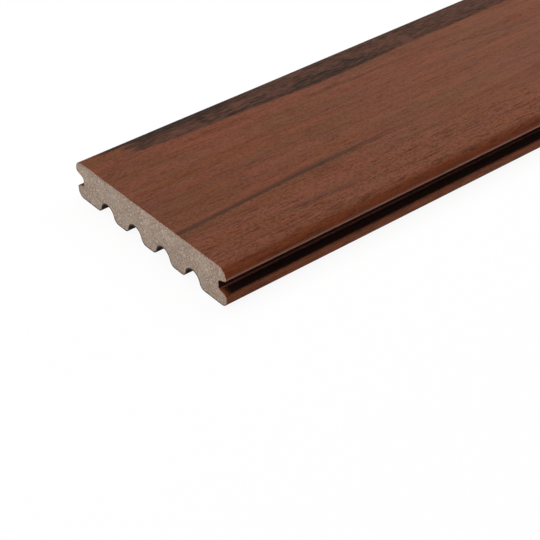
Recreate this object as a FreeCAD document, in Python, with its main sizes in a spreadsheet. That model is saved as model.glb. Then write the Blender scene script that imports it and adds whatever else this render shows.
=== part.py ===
"""Grooved-edge decking board with a scalloped underside, extruded in one pass.

The board is a wood-composite core with a thin polymer cap bonded over its top, its two edges and
the clip grooves in them. The core is bare on the underside and at both saw-cut ends.

Frame: +X along the board, +Y to its back edge, +Z up. The origin is at the middle of the length and
the width, on the plane of the underside. Sizes are in millimetres.
"""
import FreeCAD, Part
import math
import os
import Sketcher

SIZES = {
    "board_length": 2438.0,
    "board_width": 136.0,
    "board_thickness": 24.0,
    "cap_thickness": 0.7,
    "top_edge_radius": 5.6,
    "bottom_edge_radius": 4.5,
    "groove_depth": 6.5,
    "groove_centre_height": 12.0,
    "groove_root_height": 6.0,
    "groove_mouth_height": 8.8,
    "groove_root_radius": 1.5,
    "lip_nose_radius": 1.4,
    "scallop_count": 4,
    "scallop_pitch": 26.0,
    "scallop_depth": 8.0,
    "scallop_crown_radius": 6.0,
    "scallop_mouth_radius": 4.0,
}

# How a sketch counts a curve's points, and its own two axes
START, END, CENTRE = range(1, 4)
HORIZONTAL_AXIS, VERTICAL_AXIS = range(-1, -3, -1)
ORIGIN_POINT = (HORIZONTAL_AXIS, START)


def make_sheet(doc):
    """Put every driving size in a named cell of the document's spreadsheet."""
    sheet = doc.addObject("Spreadsheet::Sheet", "sizes")
    for row, (alias, value) in enumerate(SIZES.items(), start=1):
        sheet.set(f"A{row}", alias)
        sheet.set(f"B{row}", str(value))
        sheet.setAlias(f"B{row}", alias)
    doc.recompute()
    return sheet


def section_sketch(body, name):
    """A sketch across the board: its own x is the board's +Y and its own y is +Z."""
    sketch = body.newObject("Sketcher::SketchObject", name)
    plane = next(item for item in body.Origin.OriginFeatures if item.Role == "YZ_Plane")
    sketch.AttachmentSupport = [(plane, "")]
    sketch.MapMode = "FlatFace"
    return sketch


def bind(sketch, constraint, expression):
    """Add a dimension to the sketch and drive it from the sheet."""
    index = sketch.addConstraint(constraint)
    sketch.setExpression(f"Constraints[{index}]", expression)


def add_arc(sketch, across, up, radius, first_angle, last_angle):
    """Draw an arc, counterclockwise from the first angle to the last, in degrees."""
    circle = Part.Circle(FreeCAD.Vector(across, up, 0), FreeCAD.Vector(0, 0, 1), radius)
    arc = Part.ArcOfCircle(circle, math.radians(first_angle), math.radians(last_angle))
    return sketch.addGeometry(arc, False)


def add_line_between(sketch, first, second):
    """Draw a line from one end of a curve to one end of another, without constraints."""
    start = sketch.getPoint(*first)
    end = sketch.getPoint(*second)
    return sketch.addGeometry(Part.LineSegment(start, end), False)


def join_tangent(sketch, first, second):
    """Join two arc ends by a line that runs smoothly into both arcs."""
    line = add_line_between(sketch, first, second)
    sketch.addConstraint(Sketcher.Constraint("Tangent", *first, line, START))
    sketch.addConstraint(Sketcher.Constraint("Tangent", line, END, *second))
    return line


def join_square(sketch, first, second):
    """Join two ends by a plain straight line."""
    line = add_line_between(sketch, first, second)
    sketch.addConstraint(Sketcher.Constraint("Coincident", *first, line, START))
    sketch.addConstraint(Sketcher.Constraint("Coincident", line, END, *second))
    return line


def groove_flank_angle():
    """The angle by which the groove's upper and lower flanks flare towards the mouth, in degrees."""
    radii = SIZES["lip_nose_radius"] + SIZES["groove_root_radius"]
    run = SIZES["groove_depth"] - radii
    rise = (SIZES["groove_mouth_height"] - SIZES["groove_root_height"]) / 2 + radii
    centre_line = math.atan2(rise, run)
    return math.degrees(centre_line - math.asin(radii / math.hypot(run, rise)))


def edge_arcs():
    """The arcs of one edge, from the underside to the top.

    Each is: side of the board's material (+1 where the edge bulges out, -1 in the groove's root),
    centre across, centre up, radius, first angle and last angle.
    """
    flare = groove_flank_angle()
    half_width = "sizes.board_width / 2"
    nose_across = f"{half_width} - sizes.lip_nose_radius"
    root_across = f"{half_width} - sizes.groove_depth + sizes.groove_root_radius"
    middle = "sizes.groove_centre_height"
    mouth = "sizes.groove_mouth_height / 2 + sizes.lip_nose_radius"
    root = "(sizes.groove_root_height / 2 - sizes.groove_root_radius)"
    top_centre = "sizes.board_thickness - sizes.top_edge_radius"
    return [
        (1, f"{half_width} - sizes.bottom_edge_radius", "sizes.bottom_edge_radius",
         "bottom_edge_radius", -90, 0),
        (1, nose_across, f"{middle} - ({mouth})", "lip_nose_radius", 0, 90 - flare),
        (-1, root_across, f"{middle} - {root}", "groove_root_radius", 180, 270 - flare),
        (-1, root_across, f"{middle} + {root}", "groove_root_radius", 90 + flare, 180),
        (1, nose_across, f"{middle} + {mouth}", "lip_nose_radius", flare - 90, 0),
        (1, f"{half_width} - sizes.top_edge_radius", top_centre, "top_edge_radius", 0, 90),
    ]


def value_of(expression):
    """The number that an expression on the sheet's sizes has now."""
    return float(sheet.evalExpression(expression))


def draw_shoulders(sketch, inset):
    """Draw the outline over both edges and the top, at an inset into the board from its outside.

    Returns the two open ends, at the lower corners, as (curve, end) pairs: right, then left.
    """
    chains = {}
    for side in (1, -1):
        chain = []
        for bulge, across, up, radius, first, last in edge_arcs():
            size = f"sizes.{radius} - {bulge} * {inset}"
            if side > 0:
                angles = (first, last)
            else:
                angles = (180 - last, 180 - first)
            arc = add_arc(sketch, side * value_of(across), value_of(up), value_of(size), *angles)
            chain.append((arc, bulge))
            if side > 0:
                bind(sketch, Sketcher.Constraint("Radius", arc, value_of(size)), size)
                bind(sketch, Sketcher.Constraint("DistanceX", *ORIGIN_POINT, arc, CENTRE,
                                                 value_of(across)), across)
                bind(sketch, Sketcher.Constraint("DistanceY", *ORIGIN_POINT, arc, CENTRE,
                                                 value_of(up)), up)
            else:
                twin = chains[1][len(chain) - 1][0]
                sketch.addConstraint(Sketcher.Constraint("Equal", twin, arc))
                sketch.addConstraint(Sketcher.Constraint("Symmetric", twin, CENTRE, arc, CENTRE,
                                                         VERTICAL_AXIS))
        chains[side] = chain
    for side, chain in chains.items():
        for (lower, lower_bulge), (upper, upper_bulge) in zip(chain, chain[1:]):
            leaves = END if lower_bulge * side > 0 else START
            enters = START if upper_bulge * side > 0 else END
            join_tangent(sketch, (lower, leaves), (upper, enters))
    join_tangent(sketch, (chains[1][-1][0], END), (chains[-1][-1][0], START))
    right_end = (chains[1][0][0], START)
    left_end = (chains[-1][0][0], END)
    for arc, end in (right_end, left_end):
        sketch.addConstraint(Sketcher.Constraint("Vertical", arc, CENTRE, arc, end))
    return right_end, left_end


def draw_scallop(sketch, step):
    """Draw one scallop of the underside, that many pitches from the board's centre line.

    It is a round crown between two rounded mouths. Returns its right and left ends.
    """
    across = f"{step} * sizes.scallop_pitch"
    up = "sizes.scallop_depth - sizes.scallop_crown_radius"
    crown_radius = SIZES["scallop_crown_radius"]
    mouth_radius = SIZES["scallop_mouth_radius"]
    reach = crown_radius + mouth_radius
    drop = mouth_radius - value_of(up)
    half_span = math.sqrt(reach ** 2 - drop ** 2)
    meet = math.degrees(math.atan2(drop, half_span))
    centre = value_of(across)
    crown = add_arc(sketch, centre, value_of(up), crown_radius, meet, 180 - meet)
    bind(sketch, Sketcher.Constraint("Radius", crown, crown_radius), "sizes.scallop_crown_radius")
    bind(sketch, Sketcher.Constraint("DistanceX", *ORIGIN_POINT, crown, CENTRE, centre), across)
    bind(sketch, Sketcher.Constraint("DistanceY", *ORIGIN_POINT, crown, CENTRE, value_of(up)), up)
    right = add_arc(sketch, centre + half_span, mouth_radius, mouth_radius, 180 + meet, 270)
    left = add_arc(sketch, centre - half_span, mouth_radius, mouth_radius, 270, 360 - meet)
    for mouth in (right, left):
        bind(sketch, Sketcher.Constraint("Radius", mouth, mouth_radius),
             "sizes.scallop_mouth_radius")
    sketch.addConstraint(Sketcher.Constraint("Tangent", right, START, crown, START))
    sketch.addConstraint(Sketcher.Constraint("Tangent", crown, END, left, END))
    return (right, END), (left, START)


def draw_underside(sketch, right_end, left_end):
    """Close the core's outline under the board: a seat for the cap's edge, lands and scallops."""
    count = int(SIZES["scallop_count"])
    scallops = [draw_scallop(sketch, (count - 1) / 2 - index) for index in range(count)]
    corner = value_of("sizes.board_width / 2 - sizes.bottom_edge_radius")
    seats = []
    for end, across in ((right_end, corner), (left_end, -corner)):
        start = sketch.getPoint(*end)
        foot = FreeCAD.Vector(across, 0, 0)
        seat = sketch.addGeometry(Part.LineSegment(start, foot), False)
        sketch.addConstraint(Sketcher.Constraint("Coincident", *end, seat, START))
        sketch.addConstraint(Sketcher.Constraint("Vertical", seat))
        seats.append((seat, END))
    starts = [seats[0]] + [left for right, left in scallops]
    ends = [right for right, left in scallops] + [seats[1]]
    for start, end in zip(starts, ends):
        land = add_line_between(sketch, start, end)
        for near, point in ((start, START), (end, END)):
            kind = "Coincident" if near in seats else "Tangent"
            sketch.addConstraint(Sketcher.Constraint(kind, *near, land, point))
        sketch.addConstraint(Sketcher.Constraint("Horizontal", land))
        sketch.addConstraint(Sketcher.Constraint("PointOnObject", land, START, HORIZONTAL_AXIS))


def extrude(body, sketch, name):
    """Pad the section to the board's length, half each way from the middle."""
    pad = body.newObject("PartDesign::Pad", name)
    pad.Profile = sketch
    pad.SideType = "Symmetric"
    pad.setExpression("Length", "sizes.board_length")
    sketch.Visibility = False
    return pad


def make_core(doc):
    """The wood-composite core, with its scalloped underside."""
    body = doc.addObject("PartDesign::Body", "core")
    body.Label = "core"
    sketch = section_sketch(body, "core_section")
    right_end, left_end = draw_shoulders(sketch, "sizes.cap_thickness")
    draw_underside(sketch, right_end, left_end)
    extrude(body, sketch, "core_extrusion")
    return body


def make_cap(doc):
    """The polymer cap: one even skin over the top, the edges and the grooves."""
    body = doc.addObject("PartDesign::Body", "cap")
    body.Label = "cap"
    sketch = section_sketch(body, "cap_section")
    outside = draw_shoulders(sketch, "0")
    inside = draw_shoulders(sketch, "sizes.cap_thickness")
    for outer_end, inner_end in zip(outside, inside):
        join_square(sketch, outer_end, inner_end)
    extrude(body, sketch, "cap_extrusion")
    return body


def check(doc, pieces):
    """Stop if an object failed, a section is not fully fixed, or a piece is not one valid solid."""
    for item in doc.Objects:
        if {"Invalid", "Error"} & set(item.State):
            raise RuntimeError(f"{item.Name} failed: {item.State}")
        if item.TypeId == "Sketcher::SketchObject" and item.solve() != 0:
            raise RuntimeError(f"{item.Name} does not solve")
    for piece in pieces:
        shape = piece.Shape
        if shape.isNull() or not shape.isValid() or len(shape.Solids) != 1:
            raise RuntimeError(f"{piece.Label} is not one valid solid")


doc = FreeCAD.newDocument("decking_board")
sheet = make_sheet(doc)
pieces = [make_core(doc), make_cap(doc)]
doc.recompute()
check(doc, pieces)
os.makedirs("parts", exist_ok=True)
for piece in pieces:
    piece.Shape.exportStep(f"parts/{piece.Label}.step")
    box = piece.Shape.BoundBox
    print(f"{piece.Label}: {box.XLength:.1f} x {box.YLength:.1f} x {box.ZLength:.1f} mm, "
          f"section {piece.Shape.Volume / box.XLength:.1f} mm2")
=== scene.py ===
import math

import bpy
import numpy as np
from mathutils import Matrix, Vector
from mathutils.geometry import delaunay_2d_cdt


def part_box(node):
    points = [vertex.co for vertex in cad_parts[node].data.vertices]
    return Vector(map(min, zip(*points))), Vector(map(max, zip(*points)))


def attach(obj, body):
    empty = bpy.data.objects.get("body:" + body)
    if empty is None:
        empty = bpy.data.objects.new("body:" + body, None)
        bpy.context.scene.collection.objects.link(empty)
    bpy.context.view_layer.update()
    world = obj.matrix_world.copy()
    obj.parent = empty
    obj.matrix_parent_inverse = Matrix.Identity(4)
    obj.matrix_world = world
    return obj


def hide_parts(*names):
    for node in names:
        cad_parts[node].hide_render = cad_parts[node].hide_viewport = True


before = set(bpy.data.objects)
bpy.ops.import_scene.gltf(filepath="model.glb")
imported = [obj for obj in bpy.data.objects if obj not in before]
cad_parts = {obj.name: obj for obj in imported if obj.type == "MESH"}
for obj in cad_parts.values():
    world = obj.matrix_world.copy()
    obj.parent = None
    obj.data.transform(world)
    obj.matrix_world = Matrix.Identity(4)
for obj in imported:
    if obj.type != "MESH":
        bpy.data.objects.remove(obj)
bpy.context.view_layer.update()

# Core: one bar of wood flour and polyethylene, extruded hot and sawn to length at both ends.
# It shows at the sawn ends and on the scalloped underside. The cap is fused over the rest.
# Sizes are in millimetres, and MM turns them into metres where a mesh is made.
MM = 0.001
board_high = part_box("cap")[1] / MM
half_length, half_width, thickness = board_high
cap_thickness = half_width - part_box("core")[1].y / MM
top_radius = 5.6
bottom_radius = 4.5
nose_radius = 1.4
groove_depth = 6.5
groove_height = 12.0
groove_root_height = 6.0
groove_mouth_height = 8.8
groove_root_radius = 1.5
scallop_count = 4
scallop_pitch = 26.0
scallop_depth = 8.0
crown_radius = 6.0
mouth_radius = 4.0
arc_tolerance = 0.015
point_tolerance = 1e-6
die_line_depth = 0.08
die_line_seed = 7
core_spacing = 0.6
core_rows = 49
saw_grid = 0.9
saw_rim = 0.9
merge_distance = 0.001
sharp_angle = 40
saw_mark_depth = 0.12
tooth_pitch = 1.7
blade_across = -60.0
blade_height = -150.0

# Bake map: strips, margins, where each run lies in a strip, and the height kept for an end
map_strips = 3
map_margin = 0.012
map_end_fill = 0.95
covered_shares = (0.0, 0.12)
underside_shares = (0.14, 0.97)
core_end_height = 0.176

# Colours: red, green and blue, each from 0 to 255
body_grey = (143, 123, 108)
body_tan = (160, 142, 128)
body_cool = (140, 134, 130)
body_warm = (166, 134, 106)
flour_pale = (206, 192, 177)
speck_dark = (94, 80, 70)
rim_dark = (52, 45, 44)
# The underside's own dark skin, darkened further as painted shade for the scallops
die_black_and_shade = (36, 28, 24)
die_brown_and_shade = (56, 45, 38)
die_umber = (54, 40, 32)
die_flour = (104, 90, 79)


def arc(centre, radius, first, last, tolerance=arc_tolerance):
    """Points along an arc between two angles in degrees, with its chords within a tolerance."""
    step = 2 * math.degrees(math.acos(1 - tolerance / radius))
    count = math.ceil(abs(last - first) / step) + 1
    turns = np.radians(np.linspace(first, last, count))
    return np.column_stack([centre[0] + radius * np.cos(turns), centre[1] + radius * np.sin(turns)])


def edge_outline(inset, tolerance=arc_tolerance):
    """The board's back edge with its groove, from the underside up to the top face."""
    radii = nose_radius + groove_root_radius
    run = groove_depth - radii
    rise = (groove_mouth_height - groove_root_height) / 2 + radii
    flare = math.degrees(math.atan2(rise, run) - math.asin(radii / math.hypot(run, rise)))
    nose_across = half_width - nose_radius
    root_across = half_width - groove_depth + groove_root_radius
    mouth = groove_mouth_height / 2 + nose_radius
    root = groove_root_height / 2 - groove_root_radius
    arcs = [
        (half_width - bottom_radius, bottom_radius, bottom_radius - inset, -90, 0),
        (nose_across, groove_height - mouth, nose_radius - inset, 0, 90 - flare),
        (root_across, groove_height - root, groove_root_radius + inset, 270 - flare, 180),
        (root_across, groove_height + root, groove_root_radius + inset, 180, 90 + flare),
        (nose_across, groove_height + mouth, nose_radius - inset, flare - 90, 0),
        (half_width - top_radius, thickness - top_radius, top_radius - inset, 0, 90),
    ]
    return np.vstack([
        arc((across, up), radius, first, last, tolerance)
        for across, up, radius, first, last in arcs
    ])


def scallop_outline(across):
    """One scallop of the underside, from left to right: rounded mouth, crown, rounded mouth."""
    crown_height = scallop_depth - crown_radius
    drop = mouth_radius - crown_height
    half_span = math.sqrt((crown_radius + mouth_radius) ** 2 - drop ** 2)
    meet = math.degrees(math.atan2(drop, half_span))
    return np.vstack([
        arc((across - half_span, mouth_radius), mouth_radius, 270, 360 - meet)[:-1],
        arc((across, crown_height), crown_radius, 180 - meet, meet)[:-1],
        arc((across + half_span, mouth_radius), mouth_radius, 180 + meet, 270),
    ])


def mirrored(points):
    """The same run on the board's front side, in the opposite order."""
    return (points * (-1, 1))[::-1]


def refined(points, longest):
    """The same run of points with more put in, so that no step is longer than that."""
    steps = np.maximum(1, np.ceil(np.linalg.norm(np.diff(points, axis=0), axis=1) / longest))
    runs = [
        np.linspace(start, end, int(count), endpoint=False)
        for start, end, count in zip(points, points[1:], steps)
    ]
    return np.vstack(runs + [points[-1:]])


def inward_normals(points):
    """Unit vectors to the left of each point of a counterclockwise run."""
    along = np.gradient(points, axis=0)
    along /= np.linalg.norm(along, axis=1, keepdims=True)
    return np.column_stack([-along[:, 1], along[:, 0]])


def spread(points, first, last):
    """A share for each point of a run, from the first value to the last, by its length."""
    along = np.append(0, np.cumsum(np.linalg.norm(np.diff(points, axis=0), axis=1)))
    return first + (last - first) * along / along[-1]


def core_outline():
    """The core's section: the run under the cap, then the bare underside with its die lines."""
    edge = edge_outline(cap_thickness)
    corner = half_width - bottom_radius
    centres = (np.arange(scallop_count) - (scallop_count - 1) / 2) * scallop_pitch
    scallops = [scallop_outline(across) for across in centres]
    under = refined(np.vstack([[(-corner, 0)], *scallops, [(corner, 0)]]), core_spacing)
    wear = np.random.default_rng(die_line_seed).random(len(under))
    wear = np.convolve(wear, (0.25, 0.5, 0.25), mode="same")
    wear[[0, -1]] = 0
    under = under + inward_normals(under) * (wear * die_line_depth)[:, None]
    return np.vstack([edge, mirrored(edge)]), under


def inside(points, outline):
    """Which points lie inside a closed outline, by counting the edges to their right."""
    start, end = outline, np.roll(outline, -1, axis=0)
    across, up = points[:, :1], points[:, 1:]
    spans = (start[:, 1] > up) != (end[:, 1] > up)
    with np.errstate(divide="ignore", invalid="ignore"):
        slope = (end[:, 0] - start[:, 0]) / (end[:, 1] - start[:, 1])
        crossing = start[:, 0] + (up - start[:, 1]) * slope
    return (spans & (crossing > across)).sum(axis=1) % 2 == 1


def clearance(points, outline):
    """Each point's distance to the nearest edge of a closed outline."""
    start, end = outline, np.roll(outline, -1, axis=0)
    run = end - start
    length = (run ** 2).sum(axis=1)
    offset = points[:, None] - start
    along = np.clip((offset * run).sum(axis=2) / length, 0, 1)
    return np.linalg.norm(offset - along[..., None] * run, axis=2).min(axis=1)


def points_within(outline):
    """Points for the sawn face: a loop along its rim, then rows of a triangular grid."""
    looped = np.vstack([outline[-1:], outline, outline[:1]])
    rim = outline + inward_normals(looped)[1:-1] * saw_rim
    low, high = outline.min(axis=0), outline.max(axis=0)
    across, up = np.meshgrid(
        np.arange(low[0], high[0], saw_grid),
        np.arange(low[1], high[1], saw_grid * math.sin(math.pi / 3)),
    )
    across[1::2] += saw_grid / 2
    grid = np.column_stack([across.ravel(), up.ravel()])
    rim = rim[inside(rim, outline)]
    rim = rim[clearance(rim, outline) > saw_rim * 0.8]
    grid = grid[inside(grid, outline)]
    grid = grid[clearance(grid, outline) > saw_rim + saw_grid * 0.5]
    return np.vstack([rim, grid])


def new_object(name, data):
    """Make an object of a mesh, a lamp or a camera, and put it in the scene."""
    made = bpy.data.objects.new(name, data)
    bpy.context.scene.collection.objects.link(made)
    return made


def section_piece(name, outline, within, **marks):
    """Make a flat piece of one section, in the plane across the board, with marks on its points."""
    points = np.vstack([outline, within])
    loop = list(range(len(outline)))
    places = [Vector(point) for point in points]
    inside_only = 1
    _, _, faces, origins, _, _ = delaunay_2d_cdt(places, [], [loop], inside_only, point_tolerance)
    source = [min(origin) for origin in origins]
    triangles = [[source[corner] for corner in face] for face in faces]
    mesh = bpy.data.meshes.new(name)
    mesh.from_pydata([(0.0, y * MM, z * MM) for y, z in points], [], triangles)
    for label, values in marks.items():
        padded = np.zeros(len(points), dtype=np.float32)
        padded[:len(values)] = values
        mesh.attributes.new(label, "FLOAT", "POINT").data.foreach_set("value", padded)
    return new_object(name, mesh)


class Flow:
    """A value in a node tree. Arithmetic on it adds the Math nodes that work it out."""

    def __init__(self, tree, socket=None):
        self.tree = tree
        self.socket = socket

    def node(self, kind, settings=None, sockets=None, output=0):
        """Add any node, with its settings first and then its sockets, and give one output."""
        made = self.tree.nodes.new(kind)
        for name, value in (settings or {}).items():
            setattr(made, name, value)
        for name, value in (sockets or {}).items():
            if isinstance(value, Flow):
                value = [value]
            if isinstance(value, list):
                for flow in value:
                    self.tree.links.new(flow.socket, made.inputs[name])
            else:
                made.inputs[name].default_value = value
        return Flow(self.tree, made.outputs[output] if made.outputs else None)

    def output(self, name):
        """Another output of the node that this value comes from."""
        return Flow(self.tree, self.socket.node.outputs[name])

    def math(self, operation, *others):
        """A Math node on this value and others."""
        sockets = dict(enumerate([self, *others]))
        return self.node("ShaderNodeMath", {"operation": operation}, sockets)

    def __add__(self, other):
        return self.math("ADD", other)

    def __sub__(self, other):
        return self.math("SUBTRACT", other)

    def __rsub__(self, other):
        return self.node("ShaderNodeMath", {"operation": "SUBTRACT"}, {0: other, 1: self})

    def __mul__(self, other):
        return self.math("MULTIPLY", other)

    def __truediv__(self, other):
        return self.math("DIVIDE", other)

    __radd__ = __add__
    __rmul__ = __mul__

    def step(self, low, high):
        """0 below the low value, 1 above the high one, and smooth between them."""
        settings = {"interpolation_type": "SMOOTHSTEP"}
        sockets = {"Value": self, "From Min": low, "From Max": high}
        return self.node("ShaderNodeMapRange", settings, sockets)

    def fade(self, low, high):
        """1 below the low value, 0 above the high one, and smooth between them."""
        return 1 - self.step(low, high)

    def band(self, rise, fall):
        """0, then up to 1 along the first span, and down to 0 again along the second."""
        return self.step(*rise) * self.fade(*fall)

    def vector(self, operation, other):
        """A Vector Math node on this vector and another."""
        return self.node("ShaderNodeVectorMath", {"operation": operation}, {0: self, 1: other})

    def in_millimetres(self):
        """This vector of metres, in millimetres."""
        return self.vector("MULTIPLY", (1 / MM, 1 / MM, 1 / MM))

    def parts(self):
        """This vector's three numbers."""
        split = self.node("ShaderNodeSeparateXYZ", {}, {"Vector": self})
        return split, split.output("Y"), split.output("Z")

    def joined(self, **numbers):
        """A vector of some numbers, with 0 for the rest."""
        return self.node("ShaderNodeCombineXYZ", {}, numbers)

    def noise(self, along, across, detail=2.0, shift=0.0):
        """Soft noise on a place in millimetres, drawn out along the board to those two sizes."""
        scaled = self.vector("MULTIPLY", (1 / along, 1 / across, 1 / across))
        moved = scaled.vector("ADD", (shift, shift, shift))
        sockets = {"Vector": moved, "Scale": 1.0, "Detail": detail, "Roughness": 0.55}
        return self.node("ShaderNodeTexNoise", {}, sockets)

    def tint(self, first, second):
        """Mix two colours by this value."""
        sockets = {0: self, 6: shader_colour(first), 7: shader_colour(second)}
        return self.node("ShaderNodeMix", {"data_type": "RGBA"}, sockets, output=2)


def shader_colour(colour):
    """The linear form of a named colour, for a socket. A colour from nodes stays as it is."""
    if isinstance(colour, Flow):
        return colour
    parts = np.array(colour) / 255
    linear = np.where(parts <= 0.04045, parts / 12.92, ((parts + 0.055) / 1.055) ** 2.4)
    return (*linear.tolist(), 1.0)


def layered(colour, layers):
    """Lay colours over a first one in turn, each by its own mask."""
    for mask, over in layers:
        colour = mask.tint(colour, over)
    return colour


def clear_nodes(owner):
    """Clear the nodes of a material or a world, and give a start for node maths in it."""
    owner.use_nodes = True
    owner.node_tree.nodes.clear()
    return Flow(owner.node_tree)


def new_material(name):
    """An empty material, its start for node maths, and the place on a piece in millimetres."""
    material = bpy.data.materials.new(name)
    start = clear_nodes(material)
    place = start.node("ShaderNodeTexCoord", output="Object")
    return material, start, place.in_millimetres()


def finish_material(start, colour, roughness, height, bump, specular, coat=0.0):
    """Join colour, roughness, bump height and shine into the material's one shader."""
    sockets = {"Height": height, "Distance": bump * MM, "Strength": 1.0}
    normal = start.node("ShaderNodeBump", {}, sockets)
    shader = start.node("ShaderNodeBsdfPrincipled", {}, {
        "Base Color": colour,
        "Roughness": roughness,
        "Specular IOR Level": specular,
        "Coat Weight": coat,
        "Coat Roughness": 0.3,
        "Normal": normal,
    })
    start.node("ShaderNodeOutputMaterial", {}, {"Surface": shader})


def sawn_composite():
    """Sawn composite: grey-tan plastic full of pale and dark specks of wood flour."""
    material, start, place = new_material("sawn_composite")
    cloud = place.noise(9.0, 9.0, detail=3.0).step(0.35, 0.65)
    blend = place.noise(2.6, 2.6, detail=3.0, shift=21.0).step(0.4, 0.6)
    flour = place.noise(1.2, 1.2, shift=5.0)
    specks = place.noise(1.0, 1.0, shift=11.0)
    rim = start.node("ShaderNodeAttribute", {"attribute_name": "bare_rim"}, output="Fac")
    colour = layered(cloud.tint(body_grey, body_tan), [
        (blend * 0.3, body_cool),
        ((1 - blend) * 0.3, body_warm),
        (flour.step(0.5, 0.68) * 0.6, flour_pale),
        (specks.step(0.5, 0.68) * 0.6, speck_dark),
        (rim.step(0.05, 0.5) * 0.9, rim_dark),
    ])
    finish_material(start, colour, flour * 0.15 + 0.75, specks + flour, 0.12, specular=0.2)
    return material


def extruded_composite():
    """The bare underside as it leaves the die: dark, darkened further as painted shade for the
    scallops, closed, and streaked along the board.
    """
    material, start, place = new_material("extruded_composite")
    drag = place.noise(160.0, 0.8, detail=3.0)
    cloud = place.noise(90.0, 14.0, shift=3.0)
    flour = place.noise(3.0, 0.7, shift=9.0)
    colour = layered(drag.step(0.3, 0.7).tint(die_black_and_shade, die_brown_and_shade), [
        (cloud.step(0.45, 0.7) * 0.5, die_umber),
        (flour.step(0.6, 0.75) * 0.35, die_flour),
    ])
    finish_material(start, colour, drag * 0.2 + 0.6, drag + flour * 0.5, 0.15, specular=0.05)
    return material


def swept_geometry(start, entry):
    """Sweep the flat section along the board and close it with a section at each end."""
    half = entry.output("Length") * 0.5
    near, far = start.joined(X=half * -1), start.joined(X=half)
    faces_beside = start.node("GeometryNodeInputMeshEdgeNeighbors")
    sockets = {"Mesh": entry, "Selection": 2 - faces_beside}
    loop = start.node("GeometryNodeMeshToCurve", {}, sockets)
    _, y, z = start.node("GeometryNodeInputPosition").parts()
    upright = start.joined(X=y * -1, Y=z * -1)
    profile = start.node("GeometryNodeSetPosition", {}, {"Geometry": loop, "Position": upright})
    path = start.node("GeometryNodeCurvePrimitiveLine", {}, {"Start": near, "End": far})
    sockets = {"Curve": path, "Count": entry.output("Rows")}
    path = start.node("GeometryNodeResampleCurve", {}, sockets)
    sockets = {"Curve": path, "Profile Curve": profile}
    skin = start.node("GeometryNodeCurveToMesh", {}, sockets)
    skin = start.node("GeometryNodeFlipFaces", {}, {"Mesh": skin})
    settings = {"data_type": "FLOAT", "domain": "FACE"}
    sockets = {"Geometry": entry, "Name": "sawn", "Value": 1.0}
    face = start.node("GeometryNodeStoreNamedAttribute", settings, sockets)
    flipped = start.node("GeometryNodeFlipFaces", {}, {"Mesh": face})
    near_face = start.node("GeometryNodeTransform", {}, {"Geometry": flipped, "Translation": near})
    far_face = start.node("GeometryNodeTransform", {}, {"Geometry": face, "Translation": far})
    whole = start.node("GeometryNodeJoinGeometry", {}, {"Geometry": [skin, near_face, far_face]})
    sockets = {"Geometry": whole, "Distance": merge_distance * MM}
    return start.node("GeometryNodeMergeByDistance", {}, sockets)


def mark(start, name):
    """A mark that was put on the section's points, as a number in a Geometry Nodes tree."""
    return start.node("GeometryNodeInputNamedAttribute", {"data_type": "FLOAT"}, {"Name": name})


def extrude(piece, relief, skin, cut, **sizes):
    """Extrude a flat section by a node tree with named sizes, and keep the plain mesh."""
    tree = bpy.data.node_groups.new(piece.name + "_extrusion", "GeometryNodeTree")
    tree.interface.new_socket("Geometry", in_out="INPUT", socket_type="NodeSocketGeometry")
    tree.interface.new_socket("Geometry", in_out="OUTPUT", socket_type="NodeSocketGeometry")
    kinds = {float: "NodeSocketFloat", int: "NodeSocketInt"}
    for name, value in sizes.items():
        tree.interface.new_socket(name, in_out="INPUT", socket_type=kinds[type(value)])
    start = Flow(tree)
    entry = start.node("NodeGroupInput")
    sockets = {"Geometry": swept_geometry(start, entry), "Offset": relief(start, entry)}
    shaped = start.node("GeometryNodeSetPosition", {}, sockets)
    shaped = start.node("GeometryNodeRealizeInstances", {}, {"Geometry": shaped})
    shaped = start.node("GeometryNodeSetMaterial", {}, {"Geometry": shaped, "Material": skin})
    sockets = {"Geometry": shaped, "Selection": mark(start, "sawn"), "Material": cut}
    shaped = start.node("GeometryNodeSetMaterial", {}, sockets)
    start.node("NodeGroupOutput", {}, {"Geometry": shaped})
    modifier = piece.modifiers.new("extrusion", "NODES")
    modifier.node_group = tree
    for item in tree.interface.items_tree:
        if item.name in sizes:
            modifier[item.identifier] = sizes[item.name]
    evaluated = piece.evaluated_get(bpy.context.evaluated_depsgraph_get())
    mesh = bpy.data.meshes.new_from_object(evaluated)
    piece.modifiers.remove(modifier)
    flat, piece.data = piece.data, mesh
    bpy.data.meshes.remove(flat)
    mesh.name = piece.name
    while None in mesh.materials[:]:
        mesh.materials.pop(index=mesh.materials[:].index(None))
    mesh.polygons.foreach_set("use_smooth", [True] * len(mesh.polygons))
    mesh.set_sharp_from_angle(angle=math.radians(sharp_angle))


def read(items, name, width=1):
    """One property of many mesh items as an array."""
    kind = np.int32 if name in ("vertex_index", "loop_total") else np.float32
    values = np.empty(len(items) * width, dtype=kind)
    items.foreach_get(name, values)
    return values.reshape(-1, width) if width > 1 else values


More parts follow.
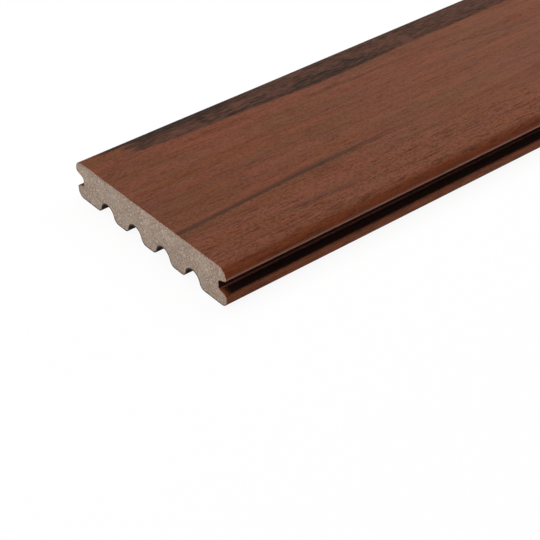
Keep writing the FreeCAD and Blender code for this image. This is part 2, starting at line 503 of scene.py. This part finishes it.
def lay_out_map(piece, end_height):
    """Give a piece its bake map: its long faces cut into strips, its sawn ends in two bands."""
    mesh = piece.data
    corners = read(mesh.loops, "vertex_index")
    sides = read(mesh.polygons, "loop_total")
    starts = np.append(0, np.cumsum(sides)[:-1])
    places = read(mesh.vertices, "co", 3)[corners] / MM
    shares = read(mesh.attributes["girth"].data, "value")[corners]
    sawn = np.repeat(read(mesh.attributes["sawn"].data, "value") > 0.5, sides)
    along = (places[:, 0] / half_length + 1) / 2
    strip = np.floor(np.add.reduceat(along, starts) / sides * map_strips)
    strip = np.repeat(np.clip(strip, 0, map_strips - 1), sides)
    # A face across the seam has its low shares moved up by one round of the section
    highest = np.repeat(np.maximum.reduceat(shares, starts), sides)
    shares = np.where(highest - shares > 0.5, shares + 1, shares)
    usable = 1 - 2 * map_margin
    strip_height = (1 - 2 * end_height) / map_strips
    long_side = np.column_stack([
        map_margin + (along * map_strips - strip) * usable,
        (strip + map_margin + shares * usable) * strip_height,
    ])
    far = places[:, 0] > 0
    end_side = np.column_stack([
        map_margin + (places[:, 1] / half_width + 1) / 2 * usable,
        1 - end_height * (far + 1 - map_end_fill * places[:, 2] / thickness),
    ])
    chosen = np.where(sawn[:, None], end_side, long_side)
    layer = mesh.uv_layers.new(name="OFBake")
    layer.uv.foreach_set("vector", chosen.astype(np.float32).ravel())


def saw_marks(start, entry):
    """Push the sawn faces in: arcs left by the blade's teeth, and specks pulled out by them."""
    x, y, z = start.node("GeometryNodeInputPosition").in_millimetres().parts()
    across, up = y - entry.output("Blade across"), z - entry.output("Blade height")
    arcs = (across * across + up * up).math("SQRT") * math.tau / entry.output("Tooth pitch")
    place = start.joined(X=x, Y=y, Z=z)
    chips = place.noise(1.6, 1.6, shift=2.0)
    depth = (arcs.math("SINE") * 0.25 + 0.25 + chips * 0.7) * entry.output("Depth")
    inward = x.math("SIGN") * -MM
    return start.joined(X=depth * inward * mark(start, "open_face"))


covered, underside = core_outline()
core_loop = np.vstack([covered, underside])
core_within = points_within(core_loop)
board_core = section_piece(
    "board_core", core_loop, core_within,
    girth=np.append(spread(covered, *covered_shares), spread(underside, *underside_shares)),
    bare_rim=np.append(np.zeros(len(covered)), np.ones(len(underside))),
    open_face=np.append(np.zeros(len(core_loop)), np.ones(len(core_within))),
)
extrude(board_core, saw_marks, extruded_composite(), sawn_composite(), **{
    "Length": 2 * half_length * MM,
    "Rows": core_rows,
    "Depth": saw_mark_depth,
    "Tooth pitch": tooth_pitch,
    "Blade across": blade_across,
    "Blade height": blade_height,
})
lay_out_map(board_core, core_end_height)
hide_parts("core")
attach(board_core, "root")

# Cap: a thin red-brown polymer skin, fused over the core as both leave the die.
# A roller presses wood grain into its top while it is warm, and darker pigment runs along it.
# Places on it count along from the near end, and across from the middle towards the back edge.
cap_rows = 366
top_spacing = 1.3
grain_depth = 0.3
growth_lines = 30
inner_tolerance = 0.04
outer_shares = (0.0, 0.93)
inner_shares = (0.95, 0.99)
cap_end_height = 0.09
groove_foot = groove_height - groove_mouth_height / 2
groove_top = groove_height + groove_mouth_height / 2
groove_floor = groove_height - groove_root_height / 2
groove_root_across = half_width - groove_depth + groove_root_radius
band_width = 23.0
band_taper = 6.6
band_taper_length = 52.0
band_start = 30.0
band_bulge = 2.2
band_bulge_place = 168.0
band_bulge_reach = 75.0

# The band's wander further along: each wave's length for one radian, and its height
band_waves = [(210.0, 3.0), (87.0, 2.0)]

# Patches in the band: place along and across, reach both ways, and strength, below 0 if paler
band_patches = [
    (36.0, 53.5, 9.0, 3.0, 0.7),
    (78.0, 55.0, 5.0, 8.0, 0.7),
    (97.0, 49.5, 14.0, 2.5, 0.5),
    (170.0, 50.0, 45.0, 6.5, 0.5),
    (60.0, 53.5, 10.0, 3.5, -0.7),
    (104.0, 56.0, 8.0, 6.0, -0.5),
    (229.0, 50.0, 6.0, 7.0, -0.8),
]

# Dark streaks near the end: begin, end, place across, drift across, width and strength
near_streaks = [
    (-60.0, 200.0, -27.7, 3.7, 3.5, 0.9),
    (225.0, 340.0, 26.0, -8.0, 2.2, 0.4),
    (110.0, 210.0, 14.0, -2.0, 2.2, 0.3),
    (120.0, 290.0, 34.0, -1.0, 2.2, 0.3),
    (55.0, 125.0, -49.0, -1.0, 3.2, 0.4),
    (5.0, 90.0, -57.0, 1.0, 1.6, 0.4),
    (-90.0, 190.0, 5.0, -6.0, 15.0, 0.13),
    (-90.0, 170.0, -9.0, 0.0, 8.0, 0.1),
    (150.0, 330.0, 17.0, -3.0, 6.0, 0.2),
    (163.0, 180.0, -66.0, 0.6, 0.9, 0.8),
]

# Colours: red, green and blue, each from 0 to 255
ground_brown = (113, 71, 46)
ground_red = (125, 73, 54)
# A painted sheen: the ground pales towards this away from the near end
painted_sheen_tan = (124, 84, 66)
front_tan = (138, 82, 56)
front_rust = (126, 62, 38)
near_umber = (98, 48, 26)
cool_taupe = (112, 77, 71)
warm_rust = (140, 74, 42)
shoulder_rust = (126, 56, 22)
shoulder_umber = (90, 55, 31)
fibre_brown = (75, 39, 22)
crinkle_brown = (70, 36, 18)
growth_brown = (70, 37, 24)
pore_brown = (56, 30, 20)
streak_brown = (64, 44, 33)
band_brown = (89, 58, 46)
band_black = (38, 26, 19)
lip_tan = (156, 100, 74)
lip_brown = (84, 52, 36)
# Painted shade for the lower corner and a painted highlight for the nose over each groove
corner_painted_shade = (58, 33, 25)
nose_painted_highlight = (176, 110, 84)
# Painted light at the groove ends, painted shade inside the grooves, and a painted glint along each
# root
groove_painted_light_orange = (168, 92, 48)
groove_painted_light_maroon = (60, 34, 32)
groove_painted_shade = (9, 2, 1)
groove_glint = (142, 82, 66)
sawn_red = (130, 88, 66)
sawn_tan = (184, 150, 128)
sawn_grey = (88, 70, 64)


def cap_outline():
    """The cap's section: its outer run from the back corner to the front, then its inner run."""
    edge = edge_outline(0.0)
    outer = refined(np.vstack([edge, mirrored(edge)]), top_spacing)
    inner = edge_outline(cap_thickness, inner_tolerance)
    return outer, np.vstack([inner, mirrored(inner)])[::-1]


def wood_grain(place):
    """Pressed grain at a place: growth lines and pores from 0 to 1, on a place that wanders."""
    wander = place.noise(210.0, 30.0, detail=1.0, shift=4.0) * 9.0
    bent = place.vector("ADD", place.joined(Y=wander))
    rise = bent.noise(1100.0, 52.0, detail=1.0, shift=1.0)
    lines = (rise * (growth_lines * math.tau)).math("SINE") * 0.5 + 0.5
    strength = bent.noise(90.0, 9.0, shift=3.0).step(0.35, 0.65)
    pores = bent.noise(13.0, 1.1, detail=1.0, shift=8.0).step(0.56, 0.68)
    return lines * strength, pores, bent


def grain_relief(start, entry):
    """Sink the growth lines into the cap's top."""
    place = start.node("GeometryNodeInputPosition").in_millimetres()
    lines, _, bent = wood_grain(place)
    swell = bent.noise(120.0, 8.0, shift=3.0)
    depth = (lines * 0.7 + swell * 0.3) * mark(start, "embossed") * entry.output("Depth")
    normal = start.node("GeometryNodeInputNormal").vector("MULTIPLY", (0.0, 1.0, 1.0))
    sockets = {0: normal, "Scale": depth * -MM}
    return normal.node("ShaderNodeVectorMath", {"operation": "SCALE"}, sockets)


def dark_band(from_end, across, mottle, bent):
    """The dark band along the back edge: where it covers, and how deep it is, from 0 to 1."""
    past = (from_end - band_start).math("MAXIMUM", 0.0)
    taper = (past * (-1 / band_taper_length)).math("EXPONENT") * band_taper
    aside = (from_end - band_bulge_place).math("ABSOLUTE")
    bulge = aside.fade(0.0, band_bulge_reach) * band_bulge
    drift = sum((from_end / length).math("SINE") * height for length, height in band_waves)
    width = band_width - taper + bulge + drift * from_end.step(300.0, 700.0)
    behind = across - (half_width - width)
    begun = from_end.step(8.0, 50.0) * 1.1 + (mottle - 0.5) * 2.4
    cover = behind.step(-1.0, 1.6) * begun.step(0.25, 0.75)
    rim = across.step(60.5, 63.0) * from_end.step(2.0, 22.0)
    front_line = (behind - 2.0).math("ABSOLUTE").fade(0.8, 3.2) * from_end.step(60.0, 130.0)
    front_line = front_line * (1 - from_end.step(200.0, 235.0) * 0.8)
    back_line = across.step(55.0, 61.0) * from_end.fade(80.0, 150.0)
    lines = (front_line * 0.8).math("MAXIMUM", back_line)
    deep = (mottle.step(0.38, 0.62) * 0.6).math("MAXIMUM", lines)
    for along, line, long_reach, cross_reach, strength in band_patches:
        apart = ((from_end - along) / long_reach).math("POWER", 2.0)
        apart = apart + ((across - line) / cross_reach).math("POWER", 2.0)
        deep = deep + apart.math("SQRT").fade(0.2, 1.0) * strength
    deep = deep + across.step(62.0, 64.5) * 0.45
    dashes = bent.noise(6.0, 0.8, shift=41.0)
    deep = deep * 0.75 + (dashes.step(0.4, 0.6) - 0.5) * 0.6 + 0.18
    return cover.math("MAXIMUM", rim), deep.math("MAXIMUM", 0.0).math("MINIMUM", 1.0)


def dark_streaks(from_end, across, bent):
    """Thin runs of dark pigment: a few at the near end, and many fainter ones further along."""
    dark = bent.noise(430.0, 11.0, shift=31.0).step(0.6, 0.74) * 0.7
    dark = dark * from_end.step(300.0, 420.0)
    for begin, end, line, drift, width, strength in near_streaks:
        share = (from_end - begin) / (end - begin)
        aside = across - line - share.step(0.2, 0.6) * drift
        streak = aside.band((-width * 0.7, -width * 0.1), (0.0, width))
        streak = streak * share.band((0.0, 0.2), (0.55, 1.0))
        dark = dark.math("MAXIMUM", streak * strength)
    return dark


def ground_colour(place, bent, from_end, front):
    """The cap's ground: red-brown, with a painted sheen that pales it away from the near end, and
    warmer at the front.
    """
    blush = place.noise(75.0, 11.0, shift=6.0)
    cool = bent.noise(80.0, 6.0, detail=3.0, shift=23.0)
    warm = bent.noise(60.0, 9.0, shift=27.0)
    return layered(blush.step(0.36, 0.64).tint(ground_brown, ground_red), [
        # A painted sheen, paler away from the near end
        (from_end.step(40.0, 280.0) * 0.4, painted_sheen_tan),
        (front * 0.2, front_tan),
        (front * from_end.step(110.0, 230.0) * 0.2, front_rust),
        (from_end.fade(10.0, 90.0) * 0.16, near_umber),
        (cool.step(0.4, 0.62) * 0.2, cool_taupe),
        (warm.step(0.48, 0.66) * 0.2, warm_rust),
    ])


def edge_colour(colour, from_end, across, height, mottle):
    """Colour the lip under each groove, with painted shade on the lower corner and a painted
    highlight on the nose over each groove.
    """
    lip = height.fade(groove_height - 5.0, groove_height - 4.0)
    nose = height.band((groove_top, groove_top + 0.4), (groove_top + 0.7, groove_top + 2.4))
    nose = nose * across.step(half_width - nose_radius, half_width - 0.8)
    return layered(colour, [
        (lip * (from_end.step(0.0, 110.0) * 0.12 + 0.34), lip_tan),
        (lip * mottle.step(0.5, 0.64) * 0.4, lip_brown),
        # Painted shade on the lower corner and a painted highlight on the nose
        (height.fade(1.4, 3.4) * 0.6, corner_painted_shade),
        (nose * 0.6, nose_painted_highlight),
    ])


def in_groove(across, height):
    """How far inside the mouth of either groove a place is, from 0 to 1."""
    within = height.band((groove_foot - 0.6, groove_foot), (groove_top, groove_top + 0.6))
    return within * across.fade(half_width - 1.4, half_width - 0.8)


def groove_colour(colour, place, from_end, across, crinkle):
    """Paint shade into both grooves, with painted light at their ends and a painted glint along the
    root.
    """
    x, y, height = place.parts()
    within = in_groove(across, height)
    # Painted light at each groove's ends, low on its flank
    lit = (half_length - x.math("ABSOLUTE")).fade(0.5, 5.5)
    lit = lit * height.fade(groove_floor - 0.2, groove_floor + 0.6)
    # A painted glint along the root of each groove
    glint = height.band(
        (groove_floor - 0.1, groove_floor + 0.1), (groove_floor + 0.5, groove_floor + 0.8),
    )
    glint = glint * across.fade(groove_root_across - 0.8, groove_root_across - 0.1)
    glint = glint * (1 - from_end.step(70.0, 230.0) * 0.6) * (crinkle * 1.4 + 0.1)
    # Painted shade fills the rest of each groove
    return layered(colour, [
        (within * lit * 0.45, y.step(0.0, 1.0).tint(groove_painted_light_orange, groove_painted_light_maroon)),
        (within * (1 - lit) * 0.95, groove_painted_shade),
        (within * glint, groove_glint),
    ])


def nose_shine(across, height):
    """Where the nose over each groove keeps the die's shine, from 0 to 1."""
    shine = height.band((groove_top - 0.4, groove_top + 0.4), (groove_top + 1.4, groove_top + 3.2))
    return shine * across.step(half_width - 1.6, half_width - 0.2)


def capped_polymer():
    """The cap's finish: matte red-brown, varied along the grain, with dark pigment in it.

    The shoulders are warmer, and the nose over each groove keeps the die's shine.
    Painted shade darkens the grooves and lower corners; painted light brightens the noses, the
    groove ends and each root.
    """
    material, start, place = new_material("capped_polymer")
    growth, pores, bent = wood_grain(place)
    x, y, height = place.parts()
    from_end, across = x + half_length, y.math("ABSOLUTE")
    front = (y * -1).step(22.0, 50.0)
    shoulder = across.step(half_width - top_radius + 0.8, half_width - 0.6)
    streak = bent.noise(170.0, 4.5, shift=2.0)
    fibre = bent.noise(110.0, 1.4, shift=13.0)
    tone = streak * 0.55 + fibre * 0.45
    mottle = bent.noise(18.0, 3.4, detail=5.0, shift=17.0)
    crinkle = place.noise(2.0, 1.1, shift=15.0)
    fresh = bent.noise(240.0, 16.0, detail=1.0, shift=21.0).step(0.42, 0.6)
    fresh = fresh.math("MAXIMUM", from_end.fade(120.0, 320.0)) * 0.55 + 0.45
    rough = crinkle.step(0.42, 0.64) * fresh * (1 - shoulder * 0.4)
    streaks = dark_streaks(from_end, y + (crinkle - 0.5) * 3.0, bent) * (fibre * 0.8 + 0.6)
    cover, deep = dark_band(from_end, y + (crinkle - 0.5) * 1.6, mottle, bent)
    colour = layered(ground_colour(place, bent, from_end, front), [
        (shoulder * 0.8, shoulder_rust),
        (shoulder * mottle.step(0.5, 0.62) * 0.35, shoulder_umber),
        (tone.step(0.36, 0.64) * 0.22, fibre_brown),
        (rough * (front * 0.12 + 0.38), crinkle_brown),
        (growth.step(0.5, 1.0) * 0.15, growth_brown),
        (pores * (front * 0.2 + 0.2), pore_brown),
        (streaks, streak_brown),
        (cover, deep.tint(band_brown, band_black)),
    ])
    colour = edge_colour(colour, from_end, across, height, mottle)
    colour = groove_colour(colour, place, from_end, across, crinkle)
    coat = nose_shine(across, height) * 0.36
    roughness = growth * 0.08 + pores * 0.1 + 0.75
    relief = fibre * 0.2 + crinkle * (front * 0.5 + 0.8) - pores * 0.3
    finish_material(start, colour, roughness, relief, 0.7, specular=0.1, coat=coat)
    return material


def sawn_polymer():
    """The cap's sawn edge: smeared and paler than its outside, but for its back and low parts."""
    material, start, place = new_material("sawn_polymer")
    smear = place.noise(1.2, 1.2)
    _, y, height = place.parts()
    dark = y.step(52.0, 60.0).math("MAXIMUM", height.fade(5.0, 9.0))
    colour = (dark * 0.6).tint(smear.step(0.4, 0.6).tint(sawn_red, sawn_tan), sawn_grey)
    finish_material(start, colour, smear * 0.1 + 0.6, smear, 0.08, specular=0.2)
    return material


cap_outer, cap_inner = cap_outline()
over_top = np.clip((cap_outer[:, 1] - thickness + top_radius) / (top_radius - 0.3), 0, 1)
board_cap = section_piece(
    "board_cap", np.vstack([cap_outer, cap_inner]), np.empty((0, 2)),
    girth=np.append(spread(cap_outer, *outer_shares), spread(cap_inner, *inner_shares)),
    embossed=over_top * over_top * (3 - 2 * over_top),
)
extrude(board_cap, grain_relief, capped_polymer(), sawn_polymer(), **{
    "Length": 2 * half_length * MM,
    "Rows": cap_rows,
    "Depth": grain_depth,
})
lay_out_map(board_cap, cap_end_height)
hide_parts("cap")
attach(board_cap, "root")

# Studio: a plain pale floor under a white surround, lit from overhead by one large soft panel.
# A smaller panel beyond each end fills the sawn faces. The panels' sizes and places are in metres.
floor_reach = 30000.0
floor_drop = 0.1
shadow_share = 0.08

# The shadow fades out between these two distances from the board's middle
shadow_along = (1250.0, 1750.0)
shadow_across = (150.0, 500.0)


def seen_or_mirrored(start):
    """1 for what the camera sees, straight, in gloss or through glass, and 0 for other light."""
    straight = start.node("ShaderNodeLightPath", output="Is Camera Ray")
    gloss, glass = straight.output("Is Glossy Ray"), straight.output("Is Transmission Ray")
    return straight.math("MAXIMUM", gloss).math("MAXIMUM", glass)


def pale_floor():
    """The floor's finish: white where it is seen, with a pale bounce.

    The board's shadow shows faintly on it, close to the board only.
    """
    material, start, place = new_material("pale_floor")
    matte = start.node("ShaderNodeBsdfDiffuse", {}, {"Color": (0.95, 0.95, 0.95, 1.0)})
    white = start.node("ShaderNodeEmission", {}, {"Strength": 1.0})
    along, across, _ = place.parts()
    shadow = across.math("ABSOLUTE").fade(*shadow_across)
    shadow = shadow * along.math("ABSOLUTE").fade(*shadow_along)
    sockets = {0: seen_or_mirrored(start) * (1 - shadow * shadow_share), 1: matte, 2: white}
    surface = start.node("ShaderNodeMixShader", {}, sockets)
    start.node("ShaderNodeOutputMaterial", {}, {"Surface": surface})
    return material


def white_surround(ambient):
    """A world that is white where it is seen and lights the board weakly and evenly."""
    world = bpy.data.worlds.new("white_surround")
    start = clear_nodes(world)
    strength = seen_or_mirrored(start) * (1 - ambient) + ambient
    sockets = {"Color": (1.0, 1.0, 1.0, 1.0), "Strength": strength}
    light = start.node("ShaderNodeBackground", {}, sockets)
    start.node("ShaderNodeOutputWorld", {}, {"Surface": light})
    bpy.context.scene.world = world


def soft_panel(name, place, target, width, depth, power):
    """A large rectangular lamp that faces a point, with its sizes and places in metres."""
    lamp = bpy.data.lights.new(name, "AREA")
    lamp.shape = "RECTANGLE"
    lamp.size, lamp.size_y = width, depth
    lamp.energy = power
    panel = new_object(name, lamp)
    panel.location = place
    facing = Vector(target) - Vector(place)
    panel.rotation_euler = facing.to_track_quat("-Z", "Y").to_euler()


corners = [
    (x * floor_reach * MM, y * floor_reach * MM, -floor_drop * MM)
    for x, y in ((-1, -1), (1, -1), (1, 1), (-1, 1))
]
floor_mesh = bpy.data.meshes.new("floor")
floor_mesh.from_pydata(corners, [], [(0, 1, 2, 3)])
floor_mesh.materials.append(pale_floor())
new_object("floor", floor_mesh)
white_surround(ambient=0.1)
soft_panel(
    "overhead_panel", place=(0.0, 0.7, 2.6), target=(0.0, 0.7, 0.0),
    width=5.0, depth=2.2, power=100.0,
)
for name, side in (("near_end_panel", -1), ("far_end_panel", 1)):
    soft_panel(
        name, place=(side * 3.4, 0.0, 0.9), target=(side * 1.2, 0.0, 0.0),
        width=1.2, depth=1.2, power=25.0,
    )

# Camera: a long lens above the near end, looking along the board towards its back edge.
# Its place is in millimetres from the near end's bottom centre.
lens = 102.7
standpoint = Vector((-354.0, -566.2, 475.4))
heading, pitch, roll = 52.53, -36.5, -1.98
camera_data = bpy.data.cameras.new("camera")
camera_data.lens = lens
camera_data.sensor_width = 36.0
camera = new_object("camera", camera_data)
level = math.cos(math.radians(pitch))
forward = Vector((
    level * math.cos(math.radians(heading)),
    level * math.sin(math.radians(heading)),
    math.sin(math.radians(pitch)),
))
aim = forward.to_track_quat("-Z", "Y").to_matrix().to_4x4()
camera.matrix_world = (
    Matrix.Translation((standpoint + Vector((-half_length, 0, 0))) * MM)
    @ aim @ Matrix.Rotation(math.radians(roll), 4, "Z")
)
bpy.context.scene.camera = camera
bpy.context.scene.view_settings.view_transform = "Standard"
